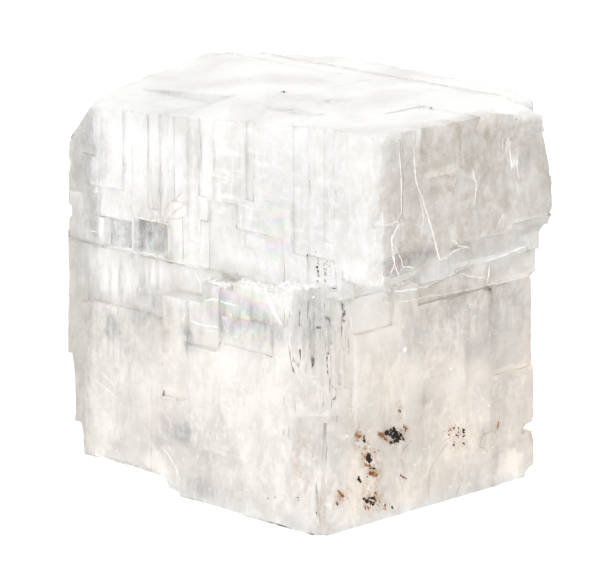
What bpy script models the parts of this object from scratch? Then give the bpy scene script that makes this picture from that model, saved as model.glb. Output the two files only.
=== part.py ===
"""A cleaved block of clear calcite, about 60 mm wide, resting on one of its cleavage faces.

Calcite splits on three planes, so the block is carved on its own three cleavage edges:
every place below is (right, left, up) in millimetres, along the edge that runs back to the
right, the edge that runs back to the left and the edge that rises. One matrix then leans
those edges to calcite's real angles and sets the block down in metres.
"""

import math
import random

import bmesh
import bpy
from mathutils import Matrix, Vector

MM = 0.001

# The rhombic cleavage face's obtuse angle, and how far the block is turned about the upright
FACE_ANGLE = math.radians(101.9)
TURN = math.radians(38.5)

# Sizes along the cleavage edges, in millimetres
TOP = 47.0            # the top face, measured up the leaning edge
PARTING = 28.5        # the cleavage plane where the upper slab sits on the lower one
OVERLAP = 1.5         # how deep joined slabs run into each other
UPPER_RIGHT = 28.7
UPPER_LEFT = 48.6
LOWER_RIGHT = 31.1
LOWER_LEFT = 49.6
UNDERCUT = 5.4        # the lower slab's right face stands this far behind the upper one
APRON = 2.6           # the lower slab's left face stands this far in front of the upper one
BAND_LEFT = 9.8       # where the broken front edge meets the left face
BAND_RIGHT = 2.0      # where it meets the right face
BAND_BEND = 13.0      # height where it starts to taper to the front corner
FLUTE_FOOT = 0.15     # radius of every flute's narrow end
FAR = 90.0            # longer than the block

HIDDEN_STEPS = 10     # on each of the two faces at the back
STRIATION_SEED = 4
CHIP_SEED = 21


def remove_everything():
    for thing in list(bpy.data.objects):
        bpy.data.objects.remove(thing, do_unlink=True)


# ---- pieces of stone, and the cuts taken from them --------------------------------------

def solid(name, bm):
    """Turn a closed bmesh into an object."""
    mesh = bpy.data.meshes.new(name)
    bm.to_mesh(mesh)
    bm.free()
    thing = bpy.data.objects.new(name, mesh)
    bpy.context.scene.collection.objects.link(thing)
    return thing


def slab(right, left, up):
    """A block between two cleavage planes each way."""
    bm = bmesh.new()
    bmesh.ops.create_cube(bm, size=1.0)
    for vert in bm.verts:
        share = vert.co + Vector((0.5, 0.5, 0.5))
        vert.co = [span[0] + (span[1] - span[0]) * part for span, part in zip((right, left, up), share)]
    return solid("slab", bm)


def beyond(first, second, third, inside):
    """Everything past the plane through three points, on the side away from `inside`."""
    first, second, third = Vector(first), Vector(second), Vector(third)
    normal = (second - first).cross(third - first).normalized()
    if (Vector(inside) - first).dot(normal) > 0:
        normal.negate()
    bm = bmesh.new()
    bmesh.ops.create_cube(bm, size=2 * FAR)
    turn = normal.to_track_quat("Z", "Y").to_matrix().to_4x4()
    bm.transform(Matrix.Translation((first + second + third) / 3 + normal * FAR) @ turn)
    return solid("beyond", bm)


def chip(at, size, lean, draw):
    """A shallow, uneven scoop, as a knock leaves on an edge."""
    bm = bmesh.new()
    bmesh.ops.create_icosphere(bm, subdivisions=1, radius=1.0)
    for vert in bm.verts:
        vert.co *= draw.uniform(0.84, 1.1)
    turn = Matrix.Rotation(math.radians(lean[0]), 4, "X") @ Matrix.Rotation(math.radians(lean[1]), 4, "Z")
    bm.transform(Matrix.Translation(at) @ turn @ Matrix.Diagonal(size).to_4x4())
    return solid("chip", bm)


def flute(foot, head, radius):
    """A long five-sided taper from its foot up to its head, to cut a groove with."""
    foot, head = Vector(foot), Vector(head)
    bm = bmesh.new()
    bmesh.ops.create_cone(
        bm, cap_ends=True, segments=5, radius1=FLUTE_FOOT, radius2=radius, depth=(head - foot).length,
    )
    turn = (head - foot).to_track_quat("Z", "Y").to_matrix().to_4x4()
    bm.transform(Matrix.Translation((foot + head) / 2) @ turn)
    return solid("flute", bm)


def combine(stone, other, operation):
    step = stone.modifiers.new("step", "BOOLEAN")
    step.solver = "EXACT"
    step.operation = operation
    step.object = other
    ready = stone.evaluated_get(bpy.context.evaluated_depsgraph_get())
    carved = bpy.data.meshes.new_from_object(ready)
    stone.modifiers.clear()
    before = stone.data
    stone.data = carved
    bpy.data.meshes.remove(before)
    bpy.data.objects.remove(other, do_unlink=True)


def add(stone, other):
    combine(stone, other, "UNION")


def cut(stone, other):
    combine(stone, other, "DIFFERENCE")


# ---- the lower slab ----------------------------------------------------------------------

def lower_slab():
    stone = slab((1.9, LOWER_RIGHT), (UNDERCUT, LOWER_LEFT), (0, PARTING))
    # The apron stands proud of the left face, and its top is the stepped ledge
    for start, end, height in (
        (UNDERCUT, 12.6, 28.2),
        (12.5, 19.6, 27.1),
        (19.5, 25.0, 26.2),
        (24.9, 30.8, 23.6),
    ):
        add(stone, slab((-APRON, 9), (start, end), (0, height)))
    # A thinner sheet carries on to the left of the apron, clear of the base
    add(stone, slab((-0.2, 9), (24, 45.2), (1.0, 20)))
    add(stone, slab((0.9, 9), (24, 48.0), (4.2, 14)))
    add(stone, slab((0.8, 9), (24, 48.7), (12.5, PARTING)))
    # The left end leans in below
    cut(stone, beyond((1.9, LOWER_LEFT, 12), (1.9, 47.5, 0), (20, LOWER_LEFT, 12), (15, 25, 10)))
    # Sheets on the left end and the two hidden faces, each a step further out
    for right, left, up in (
        ((3.2, 22), (44, 51.6), (11.5, 27.2)),
        ((3.4, 29.6), (44, 50.4), (5.6, 26.4)),
        ((12, 27), (44, 52.2), (15, 24)),
        ((24, 32.2), (UNDERCUT, 17), (24.5, 30.2)),
        ((24, 32.0), (14, 44), (0, 19.5)),
        ((24, 33.2), (21, 38), (6.0, 28)),
    ):
        add(stone, slab(right, left, up))
    return stone


def break_front_edge(stone):
    """The front edge is broken off in a fluted face, which tapers to a point at the base."""
    inside = (15, 25, 10)
    everywhere = (-3 * FAR, 3 * FAR)
    right_line = (BAND_RIGHT, UNDERCUT)
    left_line = (-APRON, BAND_LEFT)
    tip = (-APRON, UNDERCUT + 0.3, 0.4)
    upright = beyond((*right_line, BAND_BEND), (*right_line, PARTING), (*left_line, PARTING), inside)
    cut(upright, slab(everywhere, everywhere, (-3 * FAR, BAND_BEND)))
    cut(stone, upright)
    tapering = beyond((*right_line, BAND_BEND), (*left_line, BAND_BEND), tip, inside)
    cut(tapering, slab(everywhere, everywhere, (BAND_BEND + 0.01, 3 * FAR)))
    cut(stone, tapering)
    # Flutes: (share of the way across from the left, foot, radius)
    for along, foot, radius in (
        (0.07, 19.0, 0.5), (0.21, 14.5, 0.75), (0.36, 17.5, 0.45), (0.48, 13.5, 0.6),
        (0.62, 20.5, 0.4), (0.73, 14.0, 0.8), (0.9, 16.5, 0.55),
    ):
        right = left_line[0] + (right_line[0] - left_line[0]) * along
        left = left_line[1] + (right_line[1] - left_line[1]) * along
        cut(stone, flute((right, left, foot), (right, left, 32), radius))
    for along, head, radius in ((0.3, 11.5, 0.2), (0.55, 12.2, 0.24), (0.75, 11.0, 0.18)):
        right = left_line[0] + (right_line[0] - left_line[0]) * along
        left = left_line[1] + (right_line[1] - left_line[1]) * along
        cut(stone, flute(tip, (right, left, head), radius))


# ---- the upper slab ----------------------------------------------------------------------

def upper_slab():
    stone = slab((0, UPPER_RIGHT), (0, UPPER_LEFT), (PARTING - OVERLAP, TOP))
    # The right-hand end leans in above and below its widest line
    middle = (15, 24, 38)
    cut(stone, beyond((UPPER_RIGHT, 0, 37), (26.6, 0, 46.6), (UPPER_RIGHT, 20, 37), middle))
    cut(stone, beyond((UPPER_RIGHT, 0, 34), (27.0, 0, 31.2), (UPPER_RIGHT, 20, 32.5), middle))
    for right, left, up in (
        ((20, 30.0), (4.2, 47.6), (26, TOP)),
        ((20, 31.4), (8.6, 47.6), (27, TOP)),
        ((22, 32.4), (18, 47.0), (29, TOP)),
        ((2.5, 24), (40, 49.7), (25, 39.8)),
        ((9, 21), (40, 50.6), (25, 37)),
    ):
        add(stone, slab(right, left, up))
    # The underside, where it hangs out over the lower slab's right face
    for start, end, height in ((-1, 7, 29.5), (6.9, 13.5, 28.6), (13.4, 21.5, 29.9), (21.4, 34, 31.4)):
        cut(stone, slab((start, end), (-2, UNDERCUT - 0.4), (20, height)))
    return stone


def bevel_top(stone):
    """The top face falls away to the left, and three of its corners are broken off."""
    middle = (15, 24, 30)
    cut(stone, beyond((0, 6, TOP), (0, 43, 43.9), (14.6, UPPER_LEFT, 45.7), middle))
    cut(stone, beyond((0, 44.8, 43.7), (0, 48.0, 39.2), (5.2, UPPER_LEFT, 43.8), middle))
    cut(stone, beyond((23.0, UPPER_LEFT, 46.6), (32.4, 36.9, TOP), (31.6, 45.2, 37), middle))
    cut(stone, beyond((18.4, 0, TOP), (28.0, 6.5, TOP), (27.0, 0, 45.6), middle))


def main_block():
    stone = lower_slab()
    break_front_edge(stone)
    upper = upper_slab()
    bevel_top(upper)
    add(stone, upper)
    return stone


# ---- cleavage steps, notches and chips ---------------------------------------------------

def split_windows(stone):
    """Small rectangular sheets have sprung off beside the left end, above the parting."""
    for left, up, depth in (
        ((37.7, 42.1), (27.0, 30.7), 0.75),
        ((31.4, 36.4), (27.1, 31.4), 0.5),
        ((37.7, 60), (30.6, 34.4), 0.3),
        ((43.2, 60), (25.6, 33.1), 0.45),
        ((45.6, 60), (33.0, 39.5), 0.5),
        ((13.2, 30.9), (19.6, 23.2), 0.35 - APRON),
    ):
        cut(stone, slab((-9, depth), left, up))


def striate_left_face(stone):
    """Upright steps, a few tenths deep, run down the upper slab's left face from the top."""
    draw = random.Random(STRIATION_SEED)
    start = 6.1
    while start < 45:
        width = draw.uniform(0.9, 3.6)
        depth = draw.uniform(0.1, 0.4)
        foot = draw.uniform(29.6, 40)
        if draw.random() < 0.7:
            cut(stone, slab((-5, depth), (start, start + width), (foot, 60)))
        start += width + draw.uniform(0.0, 0.8)
    for left, up, depth in (
        ((14, 29.5), (27.3, 32.8), 0.22),
        ((6.1, 10.2), (28.5, 31.5), 0.3),
        ((21.2, 25.4), (26.4, 35.5), 0.4),
    ):
        cut(stone, slab((-5, depth), left, up))


def step_right_face(stone):
    """Shallow sheets are missing from the right faces, above and below the parting."""
    for right, up, depth in (
        ((20.8, 40), (33.2, 43.4), 0.35),
        ((-5, 4.6), (36.5, 60), 0.22),
        ((7.6, 13.8), (40.8, 60), 0.3),
        ((11.5, 40), (20, 32.2), 0.3),
    ):
        cut(stone, slab(right, (-5, depth), up))
    for right, up, depth in (
        ((12.6, 40), (24.2, 27.4), 0.5),
        ((24.5, 40), (13.4, 24.4), 0.25),
        ((2.4, 8.5), (22.6, 28.0), 0.35),
    ):
        cut(stone, slab(right, (-5, UNDERCUT + depth), up))


def step_lower_left_face(stone):
    for left, up, depth in (
        ((26.2, 40), (11.6, 30), 0.7),
        ((21.6, 26.8), (18.5, 30), 1.1),
        ((16.2, 22.0), (23.0, 30), 0.5),
        ((17.5, 31.0), (-1, 6.2), 0.22),
    ):
        cut(stone, slab((-9, depth - APRON), left, up))


def terrace_top(stone):
    """Thin sheets are missing from the top."""
    for right, left, depth in (
        ((-5, 8.0), (30, 60), 2.0),
        ((-5, 5.5), (13, 60), 0.45),
        ((10.2, 16.5), (-5, 8.5), 0.14),
        ((26.8, 60), (5.5, 60), 0.2),
        ((14.5, 24.0), (28, 60), 0.14),
    ):
        cut(stone, slab(right, left, (TOP - depth, 60)))


def step_hidden_faces(stone):
    """The two faces at the back carry broad, low steps of the same kind."""
    draw = random.Random(STRIATION_SEED + 1)
    for _ in range(HIDDEN_STEPS):
        left = draw.uniform(9, 36)
        up = draw.uniform(2, 33)
        reach = draw.uniform(30.3, 32.0)
        cut(stone, slab((reach, 60), (left, left + draw.uniform(4, 13)), (up, up + draw.uniform(4, 12))))
    for _ in range(HIDDEN_STEPS):
        right = draw.uniform(5, 22)
        up = draw.uniform(4, 34)
        reach = draw.uniform(48.8, 50.8)
        cut(stone, slab((right, right + draw.uniform(3, 9)), (reach, 70), (up, up + draw.uniform(3, 10))))


def knock_edges(stone):
    """Scoops along the edges: place, size and lean of each."""
    draw = random.Random(CHIP_SEED)
    for at, size, lean in (
        ((-3.0, 31.4, 0.2), (2.6, 4.4, 2.3), (10, 10)),      # under the apron's end
        ((-0.6, 38.6, 0.9), (1.2, 4.2, 0.9), (0, 5)),
        ((-0.4, 46.6, 1.0), (2.4, 2.6, 1.6), (15, 0)),
        ((-3.1, 22.0, -0.5), (0.9, 3.4, 1.1), (0, 0)),
        ((-3.1, 12.5, -0.6), (0.8, 2.8, 1.0), (0, 0)),
        ((31.9, 5.0, 5.9), (2.9, 3.6, 0.8), (0, 8)),         # the notch low on the right
        ((31.6, 5.0, 0.0), (2.4, 2.6, 1.7), (10, 0)),
        ((19.4, 5.0, -0.5), (4.2, 0.8, 0.9), (0, 0)),
        ((9.5, 5.0, -0.5), (2.6, 0.7, 0.9), (0, 0)),
        ((26.0, 5.0, -0.5), (2.4, 0.9, 1.0), (0, 0)),
        ((28.9, -0.4, 42.2), (0.9, 1.6, 2.0), (0, 0)),       # right-hand edges
        ((29.0, -0.3, 38.4), (0.8, 1.4, 2.0), (0, 0)),
        ((31.6, 5.2, 12.5), (0.7, 1.3, 3.0), (0, 0)),
        ((31.7, 5.2, 20.0), (0.8, 1.2, 2.2), (0, 0)),
        ((0.0, 49.3, 30.4), (1.6, 1.4, 1.3), (0, 0)),        # left-hand edges
        ((0.2, 49.2, 36.0), (0.9, 1.1, 1.6), (0, 0)),
        ((2.2, 51.4, 20.0), (1.1, 1.1, 2.4), (0, 0)),
        ((-0.2, -0.2, 47.4), (1.0, 1.5, 0.9), (0, 0)),       # edges of the top face
        ((6.0, -0.4, 47.4), (2.4, 0.8, 0.8), (0, 0)),
        ((-0.3, 10.0, 47.0), (0.7, 2.0, 0.6), (0, 0)),
        ((-0.3, 24.0, 46.0), (0.8, 3.4, 0.8), (0, 0)),
        ((11.6, 17.2, 47.3), (0.9, 1.1, 0.7), (0, 0)),       # a pit in the top face
        ((32.2, 26.0, 47.2), (1.0, 3.0, 0.8), (0, 0)),
        ((12.0, 48.9, 46.4), (3.0, 1.2, 1.5), (0, 0)),
        ((-0.4, -0.2, 29.3), (1.4, 1.2, 0.9), (0, 0)),       # the upper slab's hanging edge
        ((-0.5, 7.0, 28.7), (0.7, 1.7, 0.6), (0, 0)),
        ((33.6, 30.0, 3.0), (1.6, 4.0, 3.4), (0, 0)),        # the hidden edges
        ((32.4, 44.6, 1.0), (3.0, 3.4, 2.6), (0, 0)),
        ((16.0, 50.6, 0.6), (4.6, 2.6, 1.8), (0, 0)),
        ((33.0, 14.0, 24.0), (1.2, 2.4, 2.0), (0, 0)),
        ((-3.0, 5.2, -0.4), (1.5, 1.6, 1.2), (0, 0)),        # the tip of the front edge
    ):
        cut(stone, chip(at, size, lean, draw))


# ---- from cleavage coordinates to the standing block -------------------------------------

def cleavage_edges():
    """The three cleavage directions: two level edges, and the one that leans as it rises."""
    left = Vector((-math.cos(TURN), math.sin(TURN), 0))
    right_turn = math.pi - FACE_ANGLE - TURN
    right = Vector((math.cos(right_turn), math.sin(right_turn), 0))
    level = (left + right).normalized()
    reach = -math.cos(FACE_ANGLE) / level.dot(right)
    rising = level * reach + Vector((0, 0, math.sqrt(1 - reach * reach)))
    return right, left, rising


def stand_up(stone):
    """Lean the carved block to calcite's angles, with its origin under the middle of its box."""
    lean = Matrix(cleavage_edges()).transposed().to_4x4()
    stone.data.transform(Matrix.Scale(MM, 4) @ lean)
    corners = [vert.co for vert in stone.data.vertices]
    low = [min(corner[i] for corner in corners) for i in range(3)]
    high = [max(corner[i] for corner in corners) for i in range(3)]
    stone.data.transform(Matrix.Translation((-(low[0] + high[0]) / 2, -(low[1] + high[1]) / 2, -low[2])))


def clean_mesh(stone):
    bm = bmesh.new()
    bm.from_mesh(stone.data)
    bmesh.ops.triangulate(bm, faces=[face for face in bm.faces if len(face.verts) > 4])
    bm.to_mesh(stone.data)
    bm.free()


def calcite():
    """Clear to milky stone with a faint warm tint."""
    material = bpy.data.materials.new("calcite")
    material.use_nodes = True
    shader = material.node_tree.nodes["Principled BSDF"]
    shader.inputs["Base Color"].default_value = (0.84, 0.81, 0.76, 1)
    shader.inputs["Roughness"].default_value = 0.22
    shader.inputs["Metallic"].default_value = 0.0
    return material


def crystal():
    stone = main_block()
    terrace_top(stone)
    split_windows(stone)
    striate_left_face(stone)
    step_right_face(stone)
    step_lower_left_face(stone)
    step_hidden_faces(stone)
    knock_edges(stone)
    stand_up(stone)
    clean_mesh(stone)
    stone.name = stone.data.name = "crystal"
    stone.data.materials.clear()
    stone.data.materials.append(calcite())


remove_everything()
crystal()
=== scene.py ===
"""Looks of a cleaved block of clear calcite, about 60 mm wide, on a pale table.

Calcite splits on three planes, so places on the stone are (right, left, up) in millimetres
along its three cleavage edges: back to the right, back to the left, and rising. The skin of
the block, its inner cracks and the grains in it are all worked in those millimetres, where
every cleavage face is square to an axis, and are leaned to calcite's real angles at the end.
"""

import math
import random

import bmesh
import bpy
from mathutils import Matrix, Vector, noise
from mathutils.bvhtree import BVHTree


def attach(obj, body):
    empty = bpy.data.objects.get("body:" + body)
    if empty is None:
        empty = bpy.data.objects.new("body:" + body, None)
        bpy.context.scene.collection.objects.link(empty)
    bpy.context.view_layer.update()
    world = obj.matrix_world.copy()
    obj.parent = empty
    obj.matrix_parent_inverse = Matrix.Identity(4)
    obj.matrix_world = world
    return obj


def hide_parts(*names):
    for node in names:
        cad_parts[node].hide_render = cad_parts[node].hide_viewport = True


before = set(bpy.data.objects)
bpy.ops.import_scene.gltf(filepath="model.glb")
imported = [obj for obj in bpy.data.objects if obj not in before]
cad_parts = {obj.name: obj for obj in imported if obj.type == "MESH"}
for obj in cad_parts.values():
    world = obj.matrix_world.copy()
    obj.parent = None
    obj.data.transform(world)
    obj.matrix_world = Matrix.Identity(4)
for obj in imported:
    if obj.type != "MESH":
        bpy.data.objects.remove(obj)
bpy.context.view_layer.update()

MM = 0.001

# The stone's own angles, and its slabs in millimetres
FACE_ANGLE = math.radians(101.9)
TURN = math.radians(38.5)
PARTING = 28.5        # height of the crack between the upper and the lower slab
UNDERCUT = 5.4        # how far the lower slab's right face stands back
APRON = 2.6           # how far its left face stands forward

# The camera: a long lens, a little above the stone, its place in metres
CAMERA_PLACE = (0.0, -0.4104, 0.1457)
CAMERA_DIP = math.radians(16.85)
LENS = 205.9          # mm, on a sensor 36 mm wide
SENSOR = 36.0


# ---- the cleavage millimetres -------------------------------------------------------------

def cleavage_edges():
    """The three cleavage directions: two level edges, and the one that leans as it rises."""
    left = Vector((-math.cos(TURN), math.sin(TURN), 0))
    right_turn = math.pi - FACE_ANGLE - TURN
    right = Vector((math.cos(right_turn), math.sin(right_turn), 0))
    level = (left + right).normalized()
    reach = -math.cos(FACE_ANGLE) / level.dot(right)
    rising = level * reach + Vector((0, 0, math.sqrt(1 - reach * reach)))
    return right, left, rising


def upright_corner(lean):
    """Where the block's upright corner stands in the frame, in millimetres.

    The apron is the block's outermost face on the left, and the upper slab's right face and the
    base run through the corner.
    """
    back = lean.inverted()
    places = [back @ (vert.co / MM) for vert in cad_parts["crystal"].data.vertices]
    lowest = Vector([min(place[axis] for place in places) for axis in range(3)])
    return lean @ (lowest + Vector((APRON, 0, 0)))


LEAN = Matrix(cleavage_edges()).transposed()
TO_FRAME = Matrix.Scale(MM, 4) @ Matrix.Translation(upright_corner(LEAN)) @ LEAN.to_4x4()


# ---- materials ----------------------------------------------------------------------------

CALCITE_IOR = 1.658   # the ordinary ray's, which gives the stronger image
AIRY_IOR = 1.5        # calcite with films of air in it
DULL_IOR = 1.45       # low, so that small dark grains gain no shine


def linear(hex_colour):
    """An sRGB hex colour as the linear colour that a shader takes."""
    parts = [int(hex_colour[i:i + 2], 16) / 255 for i in (1, 3, 5)]
    return (*[p / 12.92 if p <= 0.04045 else ((p + 0.055) / 1.055) ** 2.4 for p in parts], 1.0)


def node(tree, kind, inputs=None, **settings):
    """Add a node. Each input is given a value, or is linked where it is given a socket."""
    made = tree.nodes.new(kind)
    for name, value in settings.items():
        setattr(made, name, value)
    for name, value in (inputs or {}).items():
        if isinstance(value, bpy.types.NodeSocket):
            tree.links.new(value, made.inputs[name])
        else:
            made.inputs[name].default_value = value
    return made


def new_material(name):
    """A material with its tree, its main shader and its output."""
    material = bpy.data.materials.new(name)
    material.use_nodes = True
    tree = material.node_tree
    return material, tree, tree.nodes["Principled BSDF"], tree.nodes["Material Output"]


def spot_on_stone(tree):
    """Where a point of a surface lies, in cleavage millimetres."""
    place = node(tree, "ShaderNodeTexCoord").outputs["Object"]
    back = TO_FRAME.inverted()
    along = {}
    for name, row in zip("XYZ", back):
        turned = node(tree, "ShaderNodeVectorMath", {0: place, 1: row[:3]}, operation="DOT_PRODUCT")
        along[name] = turned.outputs["Value"]
    joined = node(tree, "ShaderNodeCombineXYZ", along).outputs["Vector"]
    moved = node(tree, "ShaderNodeVectorMath", {0: joined, 1: back.translation[:]}, operation="ADD")
    return moved.outputs["Vector"]


def cleaved_calcite():
    """Natural calcite, split along its cleavage and left as it broke.

    The eye sees glassy, faintly satin faces; where fine cleavage cracks fill the stone it turns
    milky, and its colour there runs from cold white to warm cream. A few panes stay clear.
    Grey painted shade stands where cracks turn the light away, and painted rainbow bands where
    they hold films of air.
    """
    material, tree, shader, output = new_material("cleaved_calcite")

    def maths(operation, first, second=0.0, **settings):
        made = node(tree, "ShaderNodeMath", {0: first, 1: second}, operation=operation, **settings)
        return made.outputs[0]

    def ramp(value, low, high, out_low=0.0, out_high=1.0):
        return node(tree, "ShaderNodeMapRange", {
            "Value": value, "From Min": low, "From Max": high, "To Min": out_low, "To Max": out_high,
        }, interpolation_type="SMOOTHSTEP").outputs[0]

    def mixed(share, first, second, **settings):
        inputs = {0: share, 6: first, 7: second}
        return node(tree, "ShaderNodeMix", inputs, data_type="RGBA", **settings).outputs[2]

    spot = spot_on_stone(tree)

    def cloud(size, detail=2.0, stretch=(1, 1, 1), roughness=0.5, distortion=0.0):
        """Soft noise with lumps of that size in millimetres."""
        grown = node(tree, "ShaderNodeVectorMath", {0: spot, 1: stretch}, operation="MULTIPLY")
        return node(tree, "ShaderNodeTexNoise", {
            "Vector": grown.outputs["Vector"], "Scale": 1 / size, "Detail": detail,
            "Roughness": roughness, "Distortion": distortion,
        }).outputs[0]

    def marked(name):
        return node(tree, "ShaderNodeAttribute", attribute_name=name).outputs["Fac"]

    # Natural patterns, each with lumps of its own size in millimetres
    broad = cloud(9.0)
    small = cloud(2.2, 3.0, roughness=0.6)
    threads = cloud(1.8, 6.0, (1, 1, 0.8), 0.8, 0.3)
    mottle = cloud(3.2, 7.0, (1, 1, 0.8), 0.78, 0.2)
    # Upright cleavage cracks and level ones, drawn coarser than the real ones so that they show
    streaks = cloud(0.9, 2.0, (1.6, 1.6, 0.09), 0.65)
    rungs = cloud(0.5, 2.0, (0.1, 0.1, 1.0), 0.6)
    # A fine grain, and thin white wisps where the noise passes its middle value
    grain = cloud(0.35, 0.0)
    ridge = maths("ABSOLUTE", maths("SUBTRACT", cloud(2.2, 5.0, (1, 1, 0.7), 0.65, 0.5), 0.5))
    wisps = ramp(ridge, 0.0, 0.03, 1.0, 0.0)
    # Each place is either clear or misty, with a ragged line between them
    ragged = maths("MULTIPLY", maths("SUBTRACT", small, 0.5), 0.8)
    clear = ramp(maths("ADD", marked("clear"), ragged), 0.4, 0.7)
    misty = maths("SUBTRACT", 1.0, clear)

    # Milk: how much of the light the skin scatters instead of letting it through
    milk = maths("MULTIPLY", marked("milky"), ramp(broad, 0.32, 0.65, 0.75, 1.2))
    milk = maths("MULTIPLY", milk, maths("ADD", 1.0, maths("MULTIPLY", wisps, 0.5)))
    milk = maths("MULTIPLY", milk, maths("SUBTRACT", 1.0, maths("MULTIPLY", clear, 0.75)))
    milk = maths("ADD", milk, ramp(small, 0.5, 0.75, 0.0, 0.08))
    woven = maths("ADD", ramp(rungs, 0.5, 0.64, 0.0, 0.5), ramp(streaks, 0.5, 0.64, 0.0, 0.5))
    milk = maths("ADD", milk, maths("MULTIPLY", marked("woven"), woven))
    feathered = maths("MULTIPLY", marked("feather"), ramp(streaks, 0.38, 0.54, 0.3, 1.0))
    milk = maths("MAXIMUM", milk, feathered)
    milk = maths("MAXIMUM", milk, maths("MULTIPLY", marked("bruise"), ramp(small, 0.3, 0.6, 0.3, 1.0)))

    # Smoke: brown-grey clouds and threads that dim what lies behind them
    smoke = maths("MULTIPLY", marked("smoke"), ramp(threads, 0.36, 0.66, 0.2, 0.85))
    # Painted shade: grey where a crack turns the light away, uneven along streaks and threads, none under
    # white feathering
    uneven = maths("ADD", maths("MULTIPLY", streaks, 0.3), maths("MULTIPLY", threads, 0.7))
    painted_shade = maths("MULTIPLY", marked("shade"), ramp(uneven, 0.4, 0.6, 0.3, 1.0))
    painted_shade = maths("MULTIPLY", painted_shade, maths("SUBTRACT", 1.0, feathered, use_clamp=True))
    rust = maths("MULTIPLY", marked("rust"), ramp(threads, 0.42, 0.6))

    # Rainbow: painted interference colours, faint bands where a crack holds a film of air
    along = node(tree, "ShaderNodeSeparateXYZ", {0: spot}).outputs
    phase = maths("ADD", maths("MULTIPLY", along["Z"], 0.33), maths("MULTIPLY", along["Y"], 0.06))
    phase = maths("FRACT", maths("ADD", phase, maths("MULTIPLY", broad, 2.5)))
    film = node(tree, "ShaderNodeCombineColor", {
        0: phase, 1: maths("MULTIPLY", marked("rainbow"), ramp(small, 0.35, 0.6, 0.0, 0.14)), 2: 1.0,
    }, mode="HSV").outputs[0]

    # Colour: cold to warm milk, mottled paler and darker, then smoke, painted grey shade, rust and the
    # painted rainbow
    tint = mixed(marked("warmth"), linear("#FEFEFD"), linear("#FDF0E2"))
    pale = maths("MAXIMUM", ramp(mottle, 0.42, 0.6), maths("MULTIPLY", wisps, 0.8))
    pale = maths("SUBTRACT", pale, maths("MULTIPLY", marked("woven"), maths("SUBTRACT", 0.6, woven)))
    pale = maths("MAXIMUM", pale, feathered, use_clamp=True)
    blotch = mixed(pale, linear("#EDEBE7"), linear("#FFFFFF"))
    colour = mixed(milk, linear("#FEFDFB"), tint)
    told = maths("MULTIPLY", misty, maths("SUBTRACT", 1.1, marked("calm")), use_clamp=True)
    colour = mixed(told, colour, blotch, blend_type="MULTIPLY")
    colour = mixed(smoke, colour, linear("#AE9A7E"))
    # The painted shade, laid over the colour as grey
    colour = mixed(painted_shade, colour, linear("#8A8B8C"))
    colour = mixed(rust, colour, linear("#A8743F"))
    colour = mixed(1.0, colour, film, blend_type="MULTIPLY")
    tree.links.new(colour, shader.inputs["Base Color"])
    milk = maths("MAXIMUM", milk, maths("MULTIPLY", rust, 0.7), use_clamp=True)
    scattered = maths("MULTIPLY", milk, 0.85)
    tree.links.new(maths("SUBTRACT", 1.0, scattered), shader.inputs["Transmission Weight"])
    # Cleavage faces are satin, and smoother where the stone is clear
    frost = maths("ADD", maths("MULTIPLY", misty, 0.22), ramp(small, 0.3, 0.7, 0.08, 0.16))
    tree.links.new(frost, shader.inputs["Roughness"])
    shader.inputs["IOR"].default_value = CALCITE_IOR

    # Relief: upright cleavage lines, or an uneven break where the stone is hackly
    hackly = marked("hackly")
    height = maths("MULTIPLY", streaks, maths("SUBTRACT", 0.8, maths("MULTIPLY", hackly, 0.8)))
    height = maths("ADD", height, maths("MULTIPLY", maths("MULTIPLY", threads, hackly), 1.8))
    height = maths("ADD", height, maths("MULTIPLY", grain, 0.25))
    height = maths("MULTIPLY", height, maths("SUBTRACT", 1.0, maths("MULTIPLY", marked("calm"), 0.85)))
    bump = node(tree, "ShaderNodeBump", {"Height": height, "Strength": 0.6, "Distance": 0.1 * MM})
    tree.links.new(bump.outputs[0], shader.inputs["Normal"])

    depth = node(tree, "ShaderNodeVolumeAbsorption", {"Color": linear("#E3DFD8"), "Density": 2.5})
    tree.links.new(depth.outputs[0], output.inputs["Volume"])
    return material


LUMP = 0.4            # mm, how large a small piece's patches of colour are


def plain_stone(name, colour, roughness, clear, speckle, ior=CALCITE_IOR):
    """A small piece's stone: its colour wanders between two hex values in small lumps."""
    material, tree, shader, _ = new_material(name)
    lumps = node(tree, "ShaderNodeTexNoise", {
        "Vector": spot_on_stone(tree), "Scale": 1 / LUMP, "Detail": 1.0,
    }).outputs[0]
    spread = node(tree, "ShaderNodeMapRange", {
        "Value": lumps, "From Min": 0.35, "From Max": 0.65,
    }).outputs[0]
    shades = {0: spread, 6: linear(colour), 7: linear(speckle)}
    mixed = node(tree, "ShaderNodeMix", shades, data_type="RGBA").outputs[2]
    tree.links.new(mixed, shader.inputs["Base Color"])
    uneven = node(tree, "ShaderNodeMapRange", {
        "Value": lumps, "To Min": max(0.02, roughness - 0.1), "To Max": roughness + 0.1,
    }).outputs[0]
    tree.links.new(uneven, shader.inputs["Roughness"])
    shader.inputs["Transmission Weight"].default_value = clear
    shader.inputs["IOR"].default_value = ior
    return material


# ---- making pieces ------------------------------------------------------------------------

# The cleavage axes, and the three faces in view: the axis that each is square to, and its side
RIGHT, LEFT, UP = 0, 1, 2
LEFT_FACE, RIGHT_FACE, TOP_FACE = (RIGHT, -1), (LEFT, -1), (UP, 1)


def along_axis(axis, side):
    """A step of one along an axis, one way or the other."""
    return Vector([float(side) * (i == axis) for i in range(3)])


def finished(name, bm, material):
    """Lean a piece made in cleavage millimetres, and let it go with the stone."""
    bm.transform(TO_FRAME)
    bm.normal_update()
    mesh = bpy.data.meshes.new(name)
    bm.to_mesh(mesh)
    bm.free()
    mesh.materials.append(material)
    piece = bpy.data.objects.new(name, mesh)
    bpy.context.scene.collection.objects.link(piece)
    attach(piece, "root")
    return piece


# ---- the block's skin ---------------------------------------------------------------------

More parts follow.
